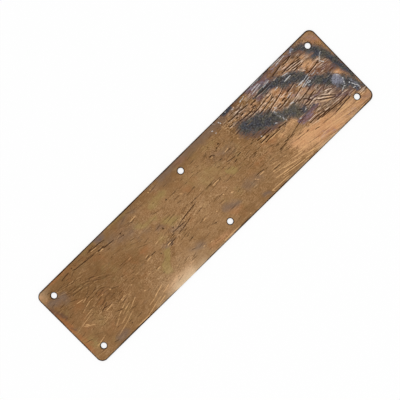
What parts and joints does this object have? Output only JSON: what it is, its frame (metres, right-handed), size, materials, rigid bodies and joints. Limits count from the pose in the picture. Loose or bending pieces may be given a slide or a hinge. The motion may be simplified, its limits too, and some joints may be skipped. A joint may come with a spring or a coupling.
{
  "type": "door finger plate",
  "caption": "Long flat brass push plate with rounded corners and plain screw holes down both long sides, fixed to a door at hand height.",
  "frame": {"origin": "middle of the back face, on the plane where the plate meets the door", "axes": "+X across the width to the right seen from the front, +Y along the length towards the stained upper end, +Z out of the front face, away from the door"},
  "size_m": [0.0754, 0.3048, 0.0012],
  "materials": {
    "aged_brass": "tarnished and scratched sheet brass, with dark stains towards the upper end of the front"
  },
  "bodies": {
    "root": {"finger_plate": "aged_brass"}
  },
  "joints": []
}
